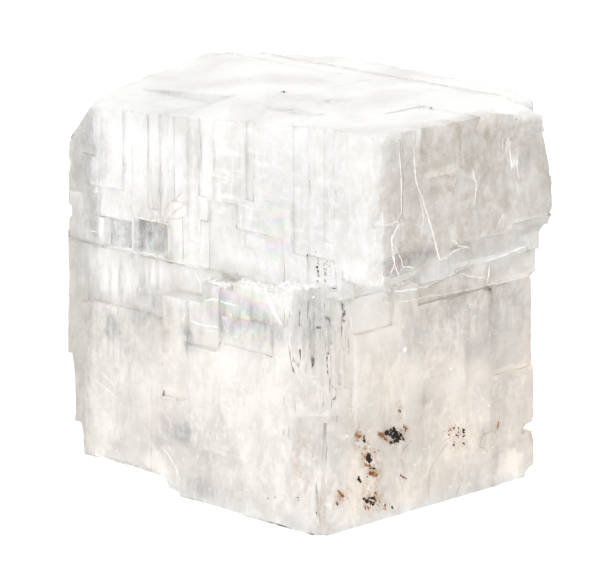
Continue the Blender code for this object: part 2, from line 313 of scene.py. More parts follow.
HAIR = 0.03           # mm, half the width of a step's wall
GRID = 1.4            # mm between the cuts that give the skin its points
EDGE_BAND = 0.2       # mm, how far a bruise reaches from an edge
SHARP = math.radians(9)            # an edge keener than this is drawn as an edge
CORNER_ANGLE = math.radians(35)    # an edge keener than this is one of the block's corners
BACK_RIGHT = 24       # past this far to the right, the skin faces away to the back
BACK_LEFT = 44        # and past this far to the left
FAR_CORNER = 40       # past this far to the left, the corner at the back has no bruises
SKIN_SEED = 7


def stone_from_frame():
    """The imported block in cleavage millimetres, with each flat face in one piece."""
    bm = bmesh.new()
    bm.from_mesh(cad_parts["crystal"].data)
    bm.transform(TO_FRAME.inverted())
    bmesh.ops.remove_doubles(bm, verts=bm.verts, dist=0.001)
    bmesh.ops.dissolve_limit(bm, angle_limit=math.radians(0.3), verts=bm.verts, edges=bm.edges)
    return bm


def cut_line(bm, axis, place, faces=None):
    """Cut the skin, or only those faces, along a cleavage plane. Returns the faces there now."""
    normal = along_axis(axis, 1)
    if faces is None:
        geometry = bm.verts[:] + bm.edges[:] + bm.faces[:]
    else:
        edges = {edge for face in faces for edge in face.edges}
        geometry = faces + list(edges) + list({vert for edge in edges for vert in edge.verts})
    cut = bmesh.ops.bisect_plane(bm, geom=geometry, dist=1e-4, plane_co=normal * place, plane_no=normal)
    return [item for item in cut["geom"] if isinstance(item, bmesh.types.BMFace)]


def flat_faces(bm, axis, side, region):
    """Faces square to an axis, on that side of the block, whose middles are in a region."""
    bm.normal_update()
    return [
        face for face in bm.faces
        if face.normal[axis] * side > 0.999
        and all(low < middle < high for middle, (low, high) in zip(face.calc_center_median(), region))
    ]


def striae(draw, span, widths, rise, deepest, bare):
    """Strips side by side, each a list of (place along it where a step starts, depth)."""
    strips = []
    start = span[0]
    while start < span[1]:
        places = [rise[0], *sorted(draw.uniform(*rise) for _ in range(draw.randrange(3)))]
        steps = []
        for place in places:
            steps.append((place, 0.0 if draw.random() < bare else draw.uniform(0.2, 1) * deepest))
        end = min(start + draw.uniform(*widths), span[1])
        strips.append((start, end, steps))
        start = end
    return strips


def split_at(bm, faces, axis, line, between=None):
    """Cut those of the faces that a line crosses. Returns all of them as they are now."""
    crossed, clear = [], []
    for face in faces:
        places = [vert.co[axis] for vert in face.verts]
        inside = between is None or between[1] < face.calc_center_median()[between[0]] < between[2]
        (crossed if inside and min(places) < line < max(places) else clear).append(face)
    return clear + (cut_line(bm, axis, line, crossed) if crossed else [])


def step_face(bm, axis, side, region, across, along, strips):
    """Split a flat face into strips and sink each step of them by its own depth."""
    faces = flat_faces(bm, axis, side, region)
    for start, _, _ in strips:
        for line in (start - HAIR, start + HAIR):
            faces = split_at(bm, faces, across, line)
    for start, end, steps in strips:
        for place, _ in steps[1:]:
            for line in (place - HAIR, place + HAIR):
                faces = split_at(bm, faces, along, line, (across, start, end))
    for vert in {vert for face in faces for vert in face.verts}:
        for start, end, steps in strips:
            if start <= vert.co[across] < end:
                reached = [depth for place, depth in steps if place <= vert.co[along]]
                vert.co[axis] -= side * (reached or [steps[0][1]])[-1]
                break


def step_all_faces(bm):
    """Cleavage steps less than a tenth of a millimetre deep, on each face in its own rhythm."""
    draw = random.Random(SKIN_SEED)
    everywhere, upper, lower = (-9.0, 60.0), (PARTING - 1, 60.0), (-1.0, PARTING + 1)
    for axis, side, region, across, along, span, widths, rise, deepest, bare in (
        (RIGHT, -1, ((-1, 3), everywhere, upper), LEFT, UP, (1, 47), (0.25, 1.7), (29.5, 46), 0.04, 0.5),
        (RIGHT, -1, ((-3, -1.2), everywhere, lower), LEFT, UP, (6, 31), (0.8, 4.5), (2, 27), 0.06, 0.5),
        (RIGHT, -1, ((-1, 3), everywhere, lower), LEFT, UP, (24, 47), (0.6, 3.5), (2, 27), 0.08, 0.4),
        (LEFT, -1, (everywhere, (-1, 3), upper), RIGHT, UP, (1, 29), (0.8, 4.0), (30, 46), 0.05, 0.6),
        (LEFT, -1, (everywhere, (4, 9), lower), RIGHT, UP, (2.5, 31), (0.8, 5.0), (2, 27), 0.05, 0.6),
        (UP, 1, (everywhere, everywhere, (43, 48)), LEFT, RIGHT, (1, 47), (3.5, 9.0), (2, 28), 0.03, 0.7),
        (RIGHT, 1, ((24, 40), everywhere, everywhere), LEFT, UP, (1, 48), (1.5, 6.0), (1, 46), 0.06, 0.5),
        (LEFT, 1, (everywhere, (40, 60), everywhere), RIGHT, UP, (1, 30), (1.5, 6.0), (1, 46), 0.06, 0.5),
    ):
        step_face(bm, axis, side, region, across, along, striae(draw, span, widths, rise, deepest, bare))


def cut_beside_corners(bm):
    """Cuts just inside the long corners, so that their bruises stay narrow."""
    corners = []
    for edge in bm.edges:
        first, second = (vert.co for vert in edge.verts)
        level = [axis for axis in (RIGHT, LEFT, UP) if abs(second[axis] - first[axis]) < 1e-3]
        keen = edge.calc_face_angle_signed(0.0) > CORNER_ANGLE
        if keen and len(level) == 2 and edge.calc_length() > 2:
            corners += [(face, axis, first[axis]) for face in edge.link_faces for axis in level]
    for face, axis, place in corners:
        if face.is_valid and abs(face.normal[axis]) < 0.9:
            middle = face.calc_center_median()[axis]
            cut_line(bm, axis, place + math.copysign(EDGE_BAND, middle - place), [face])


def cut_grid(bm):
    """Even cuts all through, so that the skin has points to move."""
    for axis in (RIGHT, LEFT, UP):
        low = min(vert.co[axis] for vert in bm.verts)
        high = max(vert.co[axis] for vert in bm.verts)
        for line in range(1, int((high - low) / GRID)):
            cut_line(bm, axis, low + line * GRID)


def mark_corners(bm):
    """Mark the long corners, where the stone is bruised white in places."""
    bruise = bm.verts.layers.float.new("bruise")
    for vert in bm.verts:
        corner = max((abs(edge.calc_face_angle_signed(0.0)) for edge in vert.link_edges), default=0.0)
        hidden = vert.co.x > BACK_RIGHT and vert.co.y > FAR_CORNER
        if corner > CORNER_ANGLE and not hidden:
            vert[bruise] = min(1.0, 0.2 + 1.3 * max(0.0, noise.noise(vert.co * 0.8) + 0.1))


def weather(bm):
    """Make the faces gently uneven and the marked corners ragged, never outwards."""
    bm.normal_update()
    bruise = bm.verts.layers.float["bruise"]
    moves = {}
    for vert in bm.verts:
        wave = 0.5 + 0.5 * noise.noise(vert.co / 4.0) + 0.3 * noise.noise(vert.co / 1.3)
        sunk = 0.06 * max(0.0, wave)
        ragged = min(1.0, vert[bruise] * 5)
        sunk += ragged * 0.2 * max(0.0, noise.noise(vert.co * 1.7) + 0.15)
        sunk += ragged * 0.5 * max(0.0, noise.noise(vert.co * 0.3) + 0.1)
        way = vert.normal.copy()
        if vert.co.z < 0.3:
            way.z = 0.0
        moves[vert] = vert.co - way * sunk
    for vert, place in moves.items():
        vert.co = place


# Soft zones of the skin, by what shows there: the middle, the half sizes in mm, and how strongly
ZONES = {
    # White, and hides what lies behind it
    "milky": (
        ((-0.5, 6.0, 22.0), (3.5, 5.0, 7.0), 0.6),
        ((-1.3, 16.0, 29.0), (3.5, 16.0, 1.3), 1.0),
        ((11.0, UNDERCUT, 26.2), (1.4, 2.0, 2.8), 0.5),
        ((27.2, UNDERCUT, 1.6), (3.0, 2.0, 2.6), 0.85),
        ((-1.3, 32.0, 2.6), (3.0, 3.8, 2.0), 1.3),
        ((-2.4, 9.1, 2.6), (1.5, 0.7, 1.0), 1.3),
        ((-2.4, 8.0, 8.9), (1.5, 0.9, 0.8), 1.3),
        ((0.0, 43.0, 23.4), (2.0, 3.6, 3.4), 1.2),
        ((0.0, 34.0, 41.0), (2.0, 11.0, 8.0), 0.95),
    ),
    # Left clear, as a window
    "clear": (
        ((-0.5, 4.0, 24.0), (3.5, 3.0, 4.0), 0.6),
        ((4.0, 0.0, 31.6), (4.0, 2.0, 1.6), 1.0),
    ),
    # White upright feathering
    "feather": (
        ((0.0, 40.5, 23.0), (2.0, 4.6, 4.6), 1.0),
        ((0.0, 34.5, 25.0), (2.0, 3.8, 2.8), 1.0),
        ((-APRON, 29.5, 2.6), (1.5, 3.2, 2.8), 0.9),
        ((26.6, UNDERCUT, 2.4), (1.6, 2.0, 2.6), 1.0),
        ((14.5, UNDERCUT, 1.6), (1.2, 2.0, 1.6), 0.6),
        ((22.2, 0.0, 41.6), (1.8, 2.0, 3.0), 0.8),
    ),
    # Level and upright cleavage cracks, crossed like cloth
    "woven": (
        ((0.0, 15.0, 38.0), (2.0, 13.0, 8.0), 1.1),
    ),
    # Painted shade: grey where a crack turns the light away
    "shade": (
        ((6.6, 0.0, 32.0), (3.4, 2.0, 1.1), 0.8),
        ((1.2, 0.0, 32.2), (1.6, 2.0, 1.0), 0.5),
        ((21.0, UNDERCUT, 20.5), (11.5, 2.0, 4.6), 0.5),
        ((-1.0, 3.5, 24.5), (2.0, 1.6, 5.0), 1.0),
        ((-1.0, 7.6, 24.5), (2.0, 3.6, 5.0), 0.45),
        ((-APRON, 14.0, 22.8), (1.5, 4.0, 2.0), 0.6),
        ((-APRON, 20.6, 23.0), (1.5, 8.8, 3.6), 0.55),
        ((-APRON, 25.5, 20.5), (1.5, 1.8, 4.0), 0.5),
        ((0.0, 44.5, 38.5), (2.0, 3.6, 6.5), 0.4),
        ((0.0, 45.5, 22.0), (2.0, 2.6, 7.0), 0.4),
        ((0.0, 39.5, 15.0), (2.0, 4.0, 3.0), 0.3),
        ((0.0, 39.0, 22.0), (2.0, 9.0, 5.0), 0.65),
        ((0.0, 30.5, 7.5), (2.0, 3.0, 3.0), 0.35),
        ((0.0, 12.0, 37.0), (2.0, 12.0, 9.0), 0.25),
        ((4.0, 36.0, 45.0), (8.0, 11.0, 3.5), 0.14),
        ((22.6, UNDERCUT, 6.6), (1.3, 2.0, 1.5), 0.6),
        ((-APRON, 27.5, 8.0), (1.5, 2.8, 1.8), 0.6),
        ((-APRON, 24.0, 1.8), (1.5, 2.8, 1.6), 0.5),
        ((0.0, 46.5, 7.5), (2.0, 2.2, 6.0), 0.15),
        ((-APRON, 26.6, 19.4), (1.5, 1.6, 2.0), 0.9),
        ((0.0, 41.0, 17.5), (2.0, 3.4, 1.4), 0.7),
    ),
    # Brown-grey smoke
    "smoke": (
        ((14.0, 0.0, 42.5), (14.0, 3.0, 6.5), 0.8),
        ((28.5, 3.0, 38.0), (3.0, 5.0, 8.0), 0.7),
        ((7.9, 0.0, 45.0), (1.6, 2.0, 2.4), 1.0),
        ((17.5, 0.0, 45.0), (3.6, 2.0, 2.4), 1.0),
        ((14.0, 0.0, 35.0), (13.0, 3.0, 5.0), 0.7),
        ((2.6, 0.0, 38.4), (2.6, 2.0, 6.2), 0.6),
        ((5.5, 0.0, 33.5), (4.0, 2.0, 2.4), 0.9),
        ((19.0, UNDERCUT, 24.6), (12.0, 2.0, 3.0), 0.6),
        ((-1.3, 31.0, 21.0), (3.0, 2.2, 5.0), 0.6),
    ),
    # Stained with rust
    "rust": (
        ((1.8, 0.0, 30.8), (1.8, 2.0, 0.9), 0.5),
        ((0.0, 32.0, 32.5), (2.0, 1.8, 3.0), 0.12),
        ((13.0, UNDERCUT, 7.5), (13.0, 2.0, 7.0), 0.1),
        ((8.6, UNDERCUT, 9.6), (2.6, 2.0, 1.8), 0.75),
        ((3.3, UNDERCUT, 10.4), (1.3, 2.0, 1.3), 1.0),
        ((4.6, UNDERCUT, 7.6), (1.4, 2.0, 2.2), 1.0),
        ((5.0, UNDERCUT, 5.2), (1.3, 2.0, 1.6), 0.9),
        ((5.0, UNDERCUT, 2.6), (2.2, 2.0, 1.4), 0.6),
        ((7.4, UNDERCUT, 1.2), (1.6, 2.0, 0.8), 0.5),
        ((0.6, UNDERCUT, 4.4), (1.2, 2.0, 1.4), 0.9),
        ((9.5, UNDERCUT, 12.4), (0.5, 2.0, 0.5), 1.0),
        ((18.4, UNDERCUT, 7.6), (2.8, 2.0, 2.4), 0.2),
        ((24.9, UNDERCUT, 4.4), (1.2, 2.0, 1.2), 0.35),
        ((25.3, UNDERCUT, 7.4), (0.4, 2.0, 0.9), 0.5),
        ((13.4, UNDERCUT, 12.3), (0.9, 2.0, 0.8), 0.4),
        ((-2.4, 8.6, 7.0), (1.5, 1.4, 4.6), 0.45),
        ((-2.0, UNDERCUT, 3.4), (2.5, 1.6, 4.0), 0.3),
    ),
    # Painted rainbow colours, for the interference in a film of air in a crack
    "rainbow": (
        ((-APRON, 20.0, 23.8), (1.5, 9.0, 3.8), 1.1),
        ((0.0, 15.0, 33.5), (2.0, 2.6, 5.0), 0.7),
        ((4.0, 0.0, 31.5), (4.5, 2.0, 1.6), 1.0),
        ((0.0, 34.0, 29.0), (2.0, 5.0, 3.0), 0.5),
    ),
}

# Panes of the skin with straight sides, on the left face: (left, up) from and to, and how dim their
# painted shade is
PANES = (
    ((38.1, 27.3), (41.8, 30.5), 0.6),
    ((32.6, 27.9), (36.9, 31.2), 0.75),
    ((43.1, 28.4), (46.0, 33.2), 0.4),
)

# Marks that the skin's points carry beside the bruises, for the material to read
MASKS = (
    "milky", "feather", "clear", "woven", "hackly", "warmth", "calm", "smoke", "shade", "rust",
    "rainbow",
)

# How milky each part of the skin is all over, and how calm: free of mottling and of relief
UNDERSIDE = (1.2, 1.0)
TOP = (0.86, 0.8)
BACK = (0.46, 0.0)
UPPER_LEFT = (0.72, 0.55)
UPPER_RIGHT = (0.46, 0.3)
LOWER_RIGHT = (0.62, 0.4)
LOWER_LEFT = (0.65, 0.4)
RIGHT_WARMTH = 1.0    # how far the lower slab's right face turns cream
LEFT_WARMTH = 0.35    # and its other faces
ZONE_REACH = 1.25     # a zone fades out this many half sizes from its middle


def mark_zones(bm):
    """Give each point of the skin the strength of every zone that it lies in."""
    masks = {name: bm.verts.layers.float.new(name) for name in MASKS}
    bm.normal_update()
    for vert in bm.verts:
        right, left, up = vert.co
        on_right = left < 7 and right > 1
        if up < 0.4 and vert.normal.z < -0.9:
            look = UNDERSIDE
        elif vert.normal.z > 0.6:
            look = TOP
        elif right > BACK_RIGHT or left > BACK_LEFT:
            look = BACK
            vert[masks["hackly"]] = 1.0
        elif right < 1.2 and up > PARTING:
            look = UPPER_LEFT
        elif up > PARTING:
            look = UPPER_RIGHT
            vert[masks["hackly"]] = 0.5
        else:
            look = LOWER_RIGHT if on_right else LOWER_LEFT
        vert[masks["milky"]], vert[masks["calm"]] = look
        warm = max(0.0, min(1.0, (PARTING - up) / 12)) * min(1.0, up / 2.0)
        vert[masks["warmth"]] = warm * (RIGHT_WARMTH if on_right else LEFT_WARMTH)
    for name, zones in ZONES.items():
        mask = masks[name]
        for middle, half, strength in zones:
            for vert in bm.verts:
                off = [(place - centre) / reach for place, centre, reach in zip(vert.co, middle, half)]
                if max(map(abs, off)) < ZONE_REACH:
                    inside = min(1.0, max(0.0, ZONE_REACH - Vector(off).length) * 1.3)
                    vert[mask] = max(vert[mask], strength * inside * inside * (3 - 2 * inside))
    # Each pane gets its painted shade
    for face in bm.faces:
        right, left, up = face.calc_center_median()
        for (first_left, first_up), (last_left, last_up), dim in PANES:
            if right < 1.2 and first_left < left < last_left and first_up < up < last_up:
                for vert in face.verts:
                    vert[masks["shade"]] = max(vert[masks["shade"]], dim)


def calcite_block(material):
    """The block's skin. Returns it as a thing that rays can be cast on, in cleavage millimetres."""
    bm = stone_from_frame()
    bm.normal_update()
    cut_beside_corners(bm)
    cut_grid(bm)
    mark_corners(bm)
    step_all_faces(bm)
    weather(bm)
    mark_zones(bm)
    skin = BVHTree.FromBMesh(bm)
    block = finished("calcite_block", bm, material)
    block.data.polygons.foreach_set("use_smooth", [True] * len(block.data.polygons))
    block.data.set_sharp_from_angle(angle=SHARP)
    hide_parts("crystal")
    return skin


# ---- things on the skin --------------------------------------------------------------------

OUTSIDE = 80.0        # mm, clear of the block on every side
LIP_STEP = 0.35       # mm between the rings of a crack's lip
LIP_SUNK = 0.005      # mm, how deep its two feet stand in the skin
LIP_GAP = 1.0         # mm, past which two rings are not joined, because a ledge lies between


def skin_point(skin, face, point):
    """Where a ray that comes straight at a face meets the skin, or nothing."""
    axis, side = face
    start = Vector(point)
    start[axis] = side * OUTSIDE
    return skin.ray_cast(start, along_axis(axis, -side))[0]


def on_face(face, pairs, level=0.0):
    """Places on the left or the right face from (across, up) pairs, at one level of its axis."""
    if face == LEFT_FACE:
        return [Vector((level, left, up)) for left, up in pairs]
    return [Vector((right, level, up)) for right, up in pairs]


def scar(bm, skin, face, pairs, width, draw, lip=0.03, wander=0.08):
    """A crack's ragged lip on the skin, along a line of (across, up) pairs, thin at both ends."""
    points = on_face(face, pairs)
    outward = along_axis(*face)
    length = sum((second - first).length for first, second in zip(points, points[1:]))
    count = max(3, int(length / LIP_STEP))
    rings = []
    for i in range(count + 1):
        share = i / count
        middle = along_line(points, share)
        ahead = along_line(points, share + 0.02) - along_line(points, share - 0.02)
        across = ahead.cross(outward).normalized()
        middle = middle + across * draw.uniform(-wander, wander)
        half = width * 0.6 * draw.uniform(0.4, 1.3) * min(1.0, 0.15 + 6 * min(share, 1 - share))
        met = [skin_point(skin, face, middle + across * half * k) for k in (-1, 0, 1)]
        if all(met) and (not rings or (met[1] - rings[-1][3]).length < LIP_GAP):
            feet = [met[k] - outward * LIP_SUNK for k in (0, 2)]
            ring = [feet[0], met[1] + outward * lip, feet[1]]
            rings.append([bm.verts.new(place) for place in ring] + [met[1]])
    for first, second in zip(rings, rings[1:]):
        for k in range(3):
            bm.faces.new([first[k], first[(k + 1) % 3], second[(k + 1) % 3], second[k]])
    if len(rings) > 1:
        bm.faces.new(rings[0][:3][::-1])
        bm.faces.new(rings[-1][:3])


SCAR_SEED = 3

# The two long cracks of the upper right face, from the top down: (right, up)
FIRST_CRACK = ((4.0, 46.1), (4.4, 41.3), (4.4, 37.2), (2.5, 34.7), (3.1, 31.6), (4.2, 28.9))
SECOND_CRACK = ((6.0, 46.4), (6.3, 41.0), (7.7, 37.9), (8.9, 34.5), (10.1, 30.9))


def white_scars(skin, material):
    """Where inner cracks break the surface: white lips, and chips along the parting."""
    draw = random.Random(SCAR_SEED)
    bm = bmesh.new()
    for width, pairs in (
        (0.18, FIRST_CRACK),
        (0.16, [*SECOND_CRACK, (14.9, 31.9)]),
        (0.34, [(4.2, 28.9), (5.4, 29.2), (7.8, 30.4), (10.2, 31.9)]),
        (0.1, [(2.6, 34.7), (3.6, 33.0), (4.4, 31.2), (6.2, 30.8)]),
        (0.1, [(3.2, 33.6), (3.0, 32.0), (2.4, 30.4)]),
        (0.1, [(6.8, 39.4), (7.6, 36.4), (7.2, 34.2)]),
        (0.1, [(0.4, 37.2), (1.5, 36.4), (4.2, 36.5)]),
        (0.12, [(1.3, 38.4), (1.5, 36.6), (0.9, 34.6)]),
        (0.14, [(15.2, 41.2), (15.9, 38.8), (15.5, 36.3)]),
        (0.12, [(12.0, 33.0), (13.4, 32.0), (15.4, 31.4)]),
        (0.12, [(19.4, 33.6), (20.6, 34.6), (21.0, 33.4)]),
        (0.22, [(0.2, 28.9), (8.6, 28.6), (16.5, 29.6), (26.3, 31.1)]),
        (0.26, [(2.1, 26.7), (5.7, 26.9), (14.3, 26.0), (22.4, 27.5), (31.5, 28.6)]),
        (0.12, [(5.7, 25.5), (17.5, 24.5), (30.7, 24.1)]),
        (0.2, [(24.5, 27.2), (24.2, 25.0), (24.6, 22.6)]),
        (0.14, [(19.5, 26.6), (22.4, 25.6), (24.0, 25.4)]),
        (0.5, [(10.0, 19.4), (10.6, 19.4)]),
        (0.5, [(17.4, 15.6), (17.9, 15.7)]),
    ):
        scar(bm, skin, RIGHT_FACE, pairs, width, draw)
    # A brush of upright scratches, and the crushed edge above it
    for _ in range(18):
        right, up = draw.gauss(22.0, 1.0), draw.gauss(41.6, 1.5)
        head = up + draw.uniform(0.3, 1.1)
        scar(bm, skin, RIGHT_FACE, [(right, head), (right + 0.3, up - 0.8)], 0.12, draw)
    for step in range(7):
        up = 46.9 - 0.1 * step
        ends = [(19.0 + 0.5 * step, up), (25.0 + 0.2 * step, up)]
        scar(bm, skin, RIGHT_FACE, ends, 0.16, draw, wander=0.03)
    for width, pairs in (
        (0.12, [(42.0, 26.9), (42.0, 30.8)]),
        (0.12, [(42.5, 26.9), (42.4, 30.8)]),
        (0.14, [(37.6, 26.2), (37.5, 34.5)]),
        (0.26, [(42.0, 27.0), (36.0, 27.2), (31.6, 27.0)]),
        (0.14, [(42.0, 30.6), (38.1, 30.8)]),
        (0.12, [(46.0, 33.2), (43.1, 33.2), (43.1, 28.4), (46.0, 28.4)]),
        (0.2, [(36.9, 31.6), (34.6, 31.5), (32.6, 31.9)]),
        (0.12, [(31.9, 35.0), (32.1, 31.0), (31.9, 27.9)]),
        (0.1, [(20.2, 35.8), (16.9, 35.6)]),
        (0.1, [(20.2, 35.8), (20.3, 30.4)]),
        (0.2, [(24.5, 24.0), (21.5, 24.5), (18.7, 24.4)]),
        (0.2, [(27.5, 21.2), (25.0, 20.9), (21.5, 21.1)]),
        (0.14, [(24.8, 20.3), (22.5, 20.5), (20.5, 19.4)]),
        (0.1, [(25.9, 19.3), (25.8, 15.8)]),
        (0.1, [(25.0, 19.0), (24.9, 16.5)]),
        (0.1, [(44.4, 10.8), (42.0, 9.9), (39.6, 8.9)]),
        (0.08, [(42.6, 11.6), (40.2, 10.3)]),
        (0.12, [(30.6, 5.6), (28.4, 3.8), (27.2, 1.4)]),
        (0.35, [(28.6, 26.6), (27.2, 24.8), (27.6, 23.2)]),
        (0.5, [(13.4, 26.6), (12.4, 24.6), (11.4, 23.6)]),
    ):
        scar(bm, skin, LEFT_FACE, pairs, width, draw)
    # The cloud of scratches below the sunk panes
    for _ in range(14):
        left, up, reach = draw.gauss(39.6, 1.9), draw.gauss(23.0, 1.4), draw.uniform(0.4, 1.6)
        foot = left + draw.uniform(-0.4, 0.4)
        scar(bm, skin, LEFT_FACE, [(left, up + reach), (foot, up - reach)], 0.08, draw)
    # Short scratches all over the lower slab's two faces
    for face, count, span, longest in ((RIGHT_FACE, 130, (2.5, 30), 0.8), (LEFT_FACE, 170, (3, 46), 0.9)):
        for _ in range(count):
            across, up, turn = draw.uniform(*span), draw.uniform(0.8, 26), draw.uniform(0, 6.3)
            reach = draw.uniform(0.15, longest)
            far = (across + reach * math.cos(turn), up + reach * math.sin(turn))
            scar(bm, skin, face, [(across, up), far], draw.uniform(0.05, 0.12), draw)
    # Fine level scratches on the upper left face
    for _ in range(26):
        left, up, reach = draw.uniform(9, 24), draw.uniform(33, 45), draw.uniform(0.6, 2.2)
        end = (left - reach, up + draw.uniform(-0.1, 0.1))
        scar(bm, skin, LEFT_FACE, [(left, up), end], 0.07, draw, lip=0.02, wander=0.02)
    # Crumbs on the apron's ledge, most of them near the front corner
    for _ in range(900):
        left = draw.choice((draw.uniform(2.5, 9.5), draw.uniform(2.5, 31)))
        top = skin_point(skin, TOP_FACE, (draw.uniform(-2.5, -0.1), left, 0))
        if top and 26 < top.z < 31:
            chip(bm, draw, top + Vector((0, 0, 0.05)), draw.uniform(0.08, 0.32))
    return finished("white_scars", bm, material)


def chip(bm, draw, spot, size):
    """One rough lump round a place."""
    stretch = Vector([draw.uniform(0.6, 1.3) for _ in range(3)])
    for vert in bmesh.ops.create_icosphere(bm, subdivisions=1, radius=size)["verts"]:
        lump = Vector(along * wide for along, wide in zip(vert.co, stretch))
        vert.co = spot + lump * draw.uniform(0.5, 1.25)


def painted_shade_clefts(skin, material):
    """Grey lips for narrow open clefts in the band by the front corner: painted shade, since a cleft
    looks dark only as little light comes back out.
    """
    draw = random.Random(SCAR_SEED)
    bm = bmesh.new()
    for width, pairs in (
        (0.1, [(5.1, 27.4), (4.9, 25.4), (4.9, 22.4)]),
        (0.14, [(4.7, 21.8), (4.6, 19.6), (4.5, 18.0)]),
        (0.08, [(7.3, 20.8), (7.2, 18.0)]),
        (0.1, [(7.7, 26.4), (7.4, 25.0), (7.0, 23.6)]),
        (0.12, [(10.4, 21.4), (10.0, 19.4), (9.6, 18.2)]),
        (0.08, [(3.0, 27.6), (3.0, 20.2)]),
        (0.08, [(3.6, 27.0), (3.5, 18.6)]),
        (0.08, [(6.2, 26.8), (6.2, 22.4)]),
    ):
        scar(bm, skin, LEFT_FACE, pairs, width, draw, wander=0.05)
    for _ in range(50):
        left, up = draw.uniform(2.8, 11.5), draw.triangular(8, 28, 25)
        foot = up - draw.uniform(0.4, 2.4)
        width = draw.uniform(0.03, 0.08)
        scar(bm, skin, LEFT_FACE, [(left, up), (left, foot)], width, draw, wander=0.03)
    return finished("painted_shade_clefts", bm, material)


# ---- inner cracks: torn sheets inside the stone --------------------------------------------

VEIL_SEED = 11
VEIL_CELL = 0.2       # mm, about how large a sheet's cells are
VEIL_DEPTH = 0.12     # mm, how far under the skin a sheet starts
VEIL_RAGGED = 0.06    # mm, how far each of its points strays
VEIL_THICK = 0.03     # mm


def torn_sheet(bm, place, counts, cover, draw):
    """A sheet with holes, on place(u, v) for u and v from 0 to 1.

    A cell of it stays where cover(u, v) is more than the noise there.
    """
    across, along = counts
    kept = set()
    for i in range(across):
        for j in range(along):
            u, v = (i + 0.5) / across, (j + 0.5) / along
            spot = place(u, v)
            torn = 0.5 + 0.5 * noise.noise(spot * 0.9) + 0.35 * noise.noise(spot * 3.1)
            if cover(u, v) > torn:
                kept.add((i, j))
    corners = {}

    def corner(i, j):
        if (i, j) not in corners:
            u, v = i / across, j / along
            spot = place(u, v)
            du, dv = place(u + 0.01, v) - spot, place(u, v + 0.01) - spot
            flat = du.cross(dv).normalized()
            shift = du.normalized() * draw.uniform(-VEIL_RAGGED, VEIL_RAGGED)
            shift += dv.normalized() * draw.uniform(-VEIL_RAGGED, VEIL_RAGGED)
            corners[(i, j)] = [
                bm.verts.new(spot + shift + flat * side * VEIL_THICK / 2) for side in (1, -1)
            ]
        return corners[(i, j)]

    for i, j in sorted(kept):
        ring = [corner(i, j), corner(i + 1, j), corner(i + 1, j + 1), corner(i, j + 1)]
        bm.faces.new([pair[0] for pair in ring])
        bm.faces.new([pair[1] for pair in reversed(ring)])
        for k, beside in enumerate(((i, j - 1), (i + 1, j), (i, j + 1), (i - 1, j))):
            if beside not in kept:
                first, second = ring[k], ring[(k + 1) % 4]
                bm.faces.new([first[0], first[1], second[1], second[0]])


def along_line(points, share):
    """The place a share of the way along a line of points."""
    lengths = [(second - first).length for first, second in zip(points, points[1:])]
    left = min(max(share, 0.0), 1.0) * sum(lengths)
    for first, second, length in zip(points, points[1:], lengths):
        if left <= length:
            return first.lerp(second, left / length)
        left -= length
    return points[-1]


def crack_from(points, inward, reach, edge, fill):
    """A crack that runs in from a line on a face: dense at the face, and thinner deeper."""
    inward = Vector(inward).normalized()

    def place(u, v):
        return along_line(points, u) + inward * (VEIL_DEPTH + v * reach)

    def cover(u, v):
        ends = min(1.0, 8 * min(u, 1 - u) + 0.3)
        return (1.6 if v * reach < edge else fill * (1 - v)) * ends

    length = sum((second - first).length for first, second in zip(points, points[1:]))
    return place, cover, (max(4, int(length / VEIL_CELL)), max(2, int(reach / VEIL_CELL)))


def white_veils(material):
    """Feathery white cracks, which scatter light at every angle."""
    draw = random.Random(VEIL_SEED)
    bm = bmesh.new()
    for face, level, pairs, inward, reach, edge, fill in (
        (RIGHT_FACE, 0, FIRST_CRACK, (0.3, 1, 0), 3.0, 0.25, 0.45),
        (RIGHT_FACE, 0, SECOND_CRACK, (0.2, 1, 0), 2.4, 0.22, 0.4),
        (RIGHT_FACE, 0, [(4.2, 28.9), (7.8, 30.4), (10.2, 31.9), (14.9, 31.9)],
         (0, 1, -0.2), 3.0, 0.3, 0.5),
        (RIGHT_FACE, UNDERCUT, [(0.3, 26.9), (5.7, 26.9), (14.3, 26.0), (22.4, 27.5)],
         (0, 1, -0.3), 4.0, 0.3, 0.5),
        (LEFT_FACE, 0, [(46.0, 30.5), (42.0, 30.7), (38.1, 30.5)], (1, 0, -0.2), 1.2, 0.25, 0.5),
        (LEFT_FACE, 0, [(46.5, 27.0), (42.0, 26.9), (36.0, 27.0), (31.6, 27.0)],
         (1, 0, -0.3), 2.0, 0.3, 0.5),
        (LEFT_FACE, 0, [(42.4, 26.9), (42.4, 30.8)], (1, 0.3, 0), 0.9, 0.3, 0.5),
        (LEFT_FACE, 0, [(37.6, 26.2), (37.6, 34.5)], (1, 0.3, 0), 1.2, 0.25, 0.5),
    ):
        points = on_face(face, pairs, level)
        place, cover, counts = crack_from(points, inward, reach, edge, fill)
        torn_sheet(bm, place, counts, cover, draw)
    return finished("white_veils", bm, material)


# ---- mineral grains and stains ------------------------------------------------------------

GRAIN_SEED = 5


def grain_cloud(bm, draw, skin, face, middle, spread, count, sizes):
    """Rough grains half sunk in the skin round a place, thickest in the middle."""
    outward = along_axis(*face)
    for _ in range(count):
        size = draw.uniform(*sizes)
        spot = Vector(middle) + Vector([draw.gauss(0, 0.45) * reach for reach in spread])
        met = skin_point(skin, face, spot)
        if met:
            chip(bm, draw, met - outward * size * 0.3, size)


